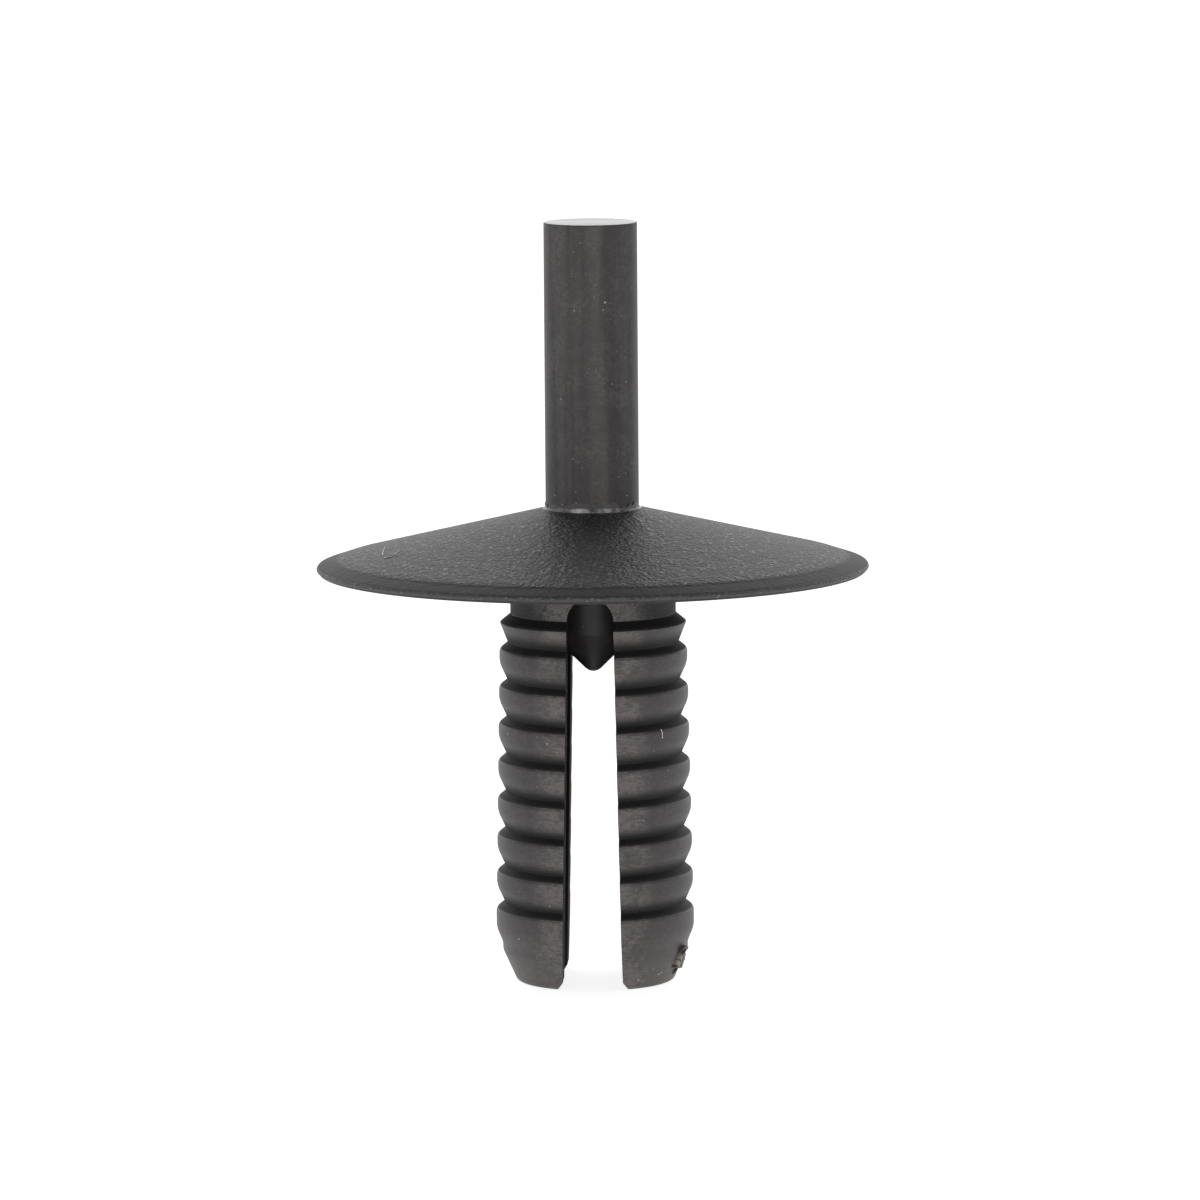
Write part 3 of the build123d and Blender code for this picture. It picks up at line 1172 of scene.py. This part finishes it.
def pin_finish(finish):
    """Smooth black nylon with draw marks, haze, dust and a painted sheen band down its middle, for the pin."""
    material, tree, shader = plastic("pin_nylon", finish.pin_nylon, finish.pin_roughness, level=0.44)
    relief = plus(tree, object_noise(tree, *DRAW_MARKS), times(tree, object_noise(tree, *FINE_MARKS), 0.5))
    bump(tree, relief, shader, 0.006 * MM)

    # A paler band down the middle, painted sheen standing in for a broad reflection, with haze and streaks, all
    # fainter near the head
    axes = axes_of(tree, object_place(tree))
    off_band = math_node(tree, "ABSOLUTE", plus(tree, axes["X"], 0.12 * MM))
    film = plus(
        tree,
        times(tree, fall(tree, off_band, 0.55 * MM, 1.45 * MM), finish.pin_sheen_band),
        times(tree, use_group(tree, "Handling Haze", Spacing=0.9 * MM)["Mask"], 0.26),
        times(tree, use_group(tree, "Handling Haze", Spacing=0.35 * MM)["Mask"], 0.22),
        times(tree, rise(tree, object_noise(tree, *DRAW_STREAKS), 0.40, 0.68), 0.26),
    )
    handled = rise_at(tree, axes["Z"], BODY_BOX[1][2], before=2.0)
    film = times(tree, film, plus(tree, times(tree, handled, 0.65), 0.35))
    # Paler where the painted sheen band and the haze lie
    hazy = mixed_colour(tree, film, finish.pin_nylon, finish.wear_and_painted_light_nylon)
    specks = use_group(tree, "Dust Specks", Spacing=0.26 * MM, Size=0.12)["Mask"]
    paint(tree, shader, specks, hazy, finish.dust)
    return material


def sheared_finish(finish):
    """Bright smooth face where the pin was sheared off, for its top."""
    material, tree, shader = plastic("sheared_nylon", finish.sheared_nylon, roughness=0.18, level=0.52)
    marks = object_noise(tree, *SHEAR_MARKS)
    bump(tree, marks, shader, 0.004 * MM)
    patches = rise(tree, marks, 0.3, 0.7)
    paint(tree, shader, patches, finish.sheared_nylon, finish.wear_and_painted_light_nylon)
    return material


def core_finish(finish):
    """Dull torn core of the gate, paler than the moulded skin."""
    material, tree, shader = plastic("torn_core", finish.torn_core, roughness=0.6, level=0.3)
    patches = rise(tree, object_noise(tree, *CORE_PATCHES), 0.35, 0.62)
    paint(tree, shader, patches, finish.nylon, finish.torn_core)
    bump(tree, object_noise(tree, *CORE_TEARS), shader, 0.03 * MM)
    return material


def near_point(tree, point, stretch, reach):
    """1 at a point, falling to 0 at reach from it, with the distance stretched along each axis."""
    gap = vector_node(tree, "SUBTRACT", object_place(tree), point)
    distance = vector_node(tree, "LENGTH", vector_node(tree, "MULTIPLY", gap, stretch))
    return fall(tree, distance, reach * 0.4, reach)


def torn_finish(finish):
    """Glossy torn nylon film, paler in patches on its front and towards its foot, partly stress-whitening and
    partly painted highlight.
    """
    material, tree, shader = plastic("torn_nylon", finish.nylon, roughness=0.22)
    streaks = rise(tree, object_noise(tree, *FILM_STREAKS), 0.28, 0.55)
    head_top = BODY_BOX[1][2]
    height = axes_of(tree, object_place(tree))["Z"]
    foot = rest(tree, rise_at(tree, height, head_top, before=-0.02, after=0.10))
    stretched = times(tree, streaks, plus(tree, times(tree, foot, 0.15), 0.03))
    # Patches on the front: partly stress-whitening, partly painted highlight
    for aside, front, strength in WHITENED_AND_HIGHLIGHT:
        patch = near_point(tree, (aside * MM, front * MM, head_top + 0.04 * MM), (0.5, 1.0, 2.6), 0.34 * MM)
        stretched = larger(tree, stretched, times(tree, patch, strength, streaks))
    paint(tree, shader, stretched, finish.nylon, finish.whitened_and_highlight_nylon)
    bump(tree, object_noise(tree, *FILM_CREASES), shader, 0.02 * MM)
    return material


def lint_finish(finish):
    """Pale glossy textile fibre, for the lint."""
    material, tree, shader = plastic("lint", finish.lint, roughness=0.3, level=1.0)
    mottle = rise(tree, object_noise(tree, *FINE_MARKS), 0.3, 0.7)
    paint(tree, shader, mottle, finish.dust, finish.lint)
    return material


def flake_finish(finish):
    """Matte pale crumbs, for the flakes."""
    material, tree, shader = plastic("flakes", finish.dust, roughness=0.8, level=0.2)
    bump(tree, object_noise(tree, *CRUMBS), shader, 0.004 * MM)
    return material


# ---------------------------------------------------------------- studio


def pale_floor(studio):
    """A plain pale floor that glows a little, white to the camera, and keeps the object's shadow."""
    bm = bmesh.new()
    bmesh.ops.create_grid(bm, x_segments=1, y_segments=1, size=studio.floor_size / 2)
    bmesh.ops.translate(bm, verts=bm.verts[:], vec=(0.0, 0.0, studio.floor_level))
    floor = to_object(bm, "studio_floor")
    material, tree, shader = plastic("floor_paint", studio.floor_colour, roughness=0.9, level=0.0)
    rays = tree.nodes.new("ShaderNodeLightPath")
    shader.inputs["Emission Color"].default_value = (1.0, 1.0, 1.0, 1.0)
    white = times(tree, rays.outputs["Is Camera Ray"], FLOOR_WHITE)
    tree.links.new(larger(tree, white, FLOOR_GLOW), shader.inputs["Emission Strength"])
    floor.data.materials.append(material)


def sky_ramp(tree, height, strengths):
    """Strength of the surroundings at the height of a direction, from level to straight up."""
    node = tree.nodes.new("ShaderNodeValToRGB")
    stops = node.color_ramp.elements
    while len(stops) < len(SKY_HEIGHTS):
        stops.new(0.5)
    for stop, place, strength in zip(stops, SKY_HEIGHTS, strengths):
        grey = strength / SKY_PEAK
        stop.position = place
        stop.color = (grey, grey, grey, 1.0)
    tree.links.new(height, node.inputs["Fac"])
    return times(tree, node.outputs["Color"], SKY_PEAK)


def soft_world(scene):
    """White surroundings, brightest low behind and at the sides, with the ceiling left dim."""
    world = bpy.data.worlds.new("studio_world")
    scene.world = world
    world.use_nodes = True
    tree = world.node_tree
    background = tree.nodes["Background"]
    background.inputs["Color"].default_value = (1.0, 1.0, 1.0, 1.0)
    direction = tree.nodes.new("ShaderNodeTexCoord").outputs["Generated"]
    height = axes_of(tree, direction)["Z"]
    level = vector_node(tree, "NORMALIZE", vector_node(tree, "MULTIPLY", direction, (1.0, 1.0, 0.0)))
    along = axes_of(tree, level)["Y"]
    behind = math_node(tree, "POWER", larger(tree, along, 0.0), 2.0)
    in_front = math_node(tree, "POWER", larger(tree, times(tree, along, -1.0), 0.0), 2.0)
    beside = minus(tree, rest(tree, behind), in_front)

    sides = ((behind, SKY_BEHIND), (beside, SKY_BESIDE), (in_front, SKY_FRONT))
    total = plus(tree, *(times(tree, side, sky_ramp(tree, height, strengths)) for side, strengths in sides))
    rays = tree.nodes.new("ShaderNodeLightPath")
    tree.links.new(larger(tree, total, rays.outputs["Is Camera Ray"]), background.inputs["Strength"])


def aim_camera(scene, studio):
    """The camera, a little above the head and almost square to the slot."""
    camera = bpy.data.objects.new("studio_camera", bpy.data.cameras.new("studio_camera"))
    camera.data.lens = studio.lens
    camera.data.sensor_width = 36.0
    camera.data.clip_start = 0.01
    backwards = Vector(
        (sin(studio.orbit) * cos(studio.pitch), -cos(studio.orbit) * cos(studio.pitch), sin(studio.pitch))
    )
    aside = Vector((cos(studio.orbit), sin(studio.orbit), 0.0)) * studio.aim_aside
    camera.location = Vector((0.0, 0.0, studio.aim_height)) + aside + backwards * studio.distance
    turned = backwards.to_track_quat("Z", "Y") @ Quaternion((0.0, 0.0, 1.0), studio.roll)
    camera.rotation_euler = turned.to_euler()
    scene.collection.objects.link(camera)
    scene.camera = camera


class OBJECT_OT_rivet_studio(bpy.types.Operator):
    """Lay the pale floor, light it softly and place the camera"""

    bl_idname = "object.rivet_studio"
    bl_label = "Studio"
    bl_options = {"REGISTER", "UNDO"}

    def execute(self, context):
        scene = context.scene
        scene.view_settings.view_transform = "Standard"
        studio = scene.rivet_studio
        pale_floor(studio)
        soft_world(scene)
        aim_camera(scene, studio)
        return {"FINISHED"}


# ---------------------------------------------------------------- sidebar


class VIEW3D_PT_rivet(bpy.types.Panel):
    """Sizes, finishes and steps of the push rivet"""

    bl_idname = "VIEW3D_PT_rivet"
    bl_label = "Push Rivet"
    bl_space_type = "VIEW_3D"
    bl_region_type = "UI"
    bl_category = "Push Rivet"

    def draw(self, context):
        for group in SETTINGS:
            box = self.layout.box()
            for name in SETTINGS[group].__annotations__:
                box.prop(getattr(context.scene, group), name)
        for step in STEPS:
            self.layout.operator(step.bl_idname)


SETTINGS = {
    "rivet_head": HeadSizes,
    "rivet_shank": ShankSizes,
    "rivet_gate": GateSizes,
    "rivet_pin": PinSizes,
    "rivet_finish": Finish,
    "rivet_studio": Studio,
}
STEPS = [OBJECT_OT_rivet_body, OBJECT_OT_rivet_pin, OBJECT_OT_rivet_lint, OBJECT_OT_rivet_studio]


def register():
    for group in [*SETTINGS.values(), *STEPS, VIEW3D_PT_rivet]:
        bpy.utils.register_class(group)
    for name, group in SETTINGS.items():
        setattr(bpy.types.Scene, name, PointerProperty(type=group))


def unregister():
    for name in SETTINGS:
        delattr(bpy.types.Scene, name)
    for group in reversed([*SETTINGS.values(), *STEPS, VIEW3D_PT_rivet]):
        bpy.utils.unregister_class(group)


def main():
    register()
    bpy.ops.object.rivet_body()
    bpy.ops.object.rivet_pin()
    bpy.ops.object.rivet_lint()
    bpy.ops.object.rivet_studio()


if __name__ == "__main__":
    main()
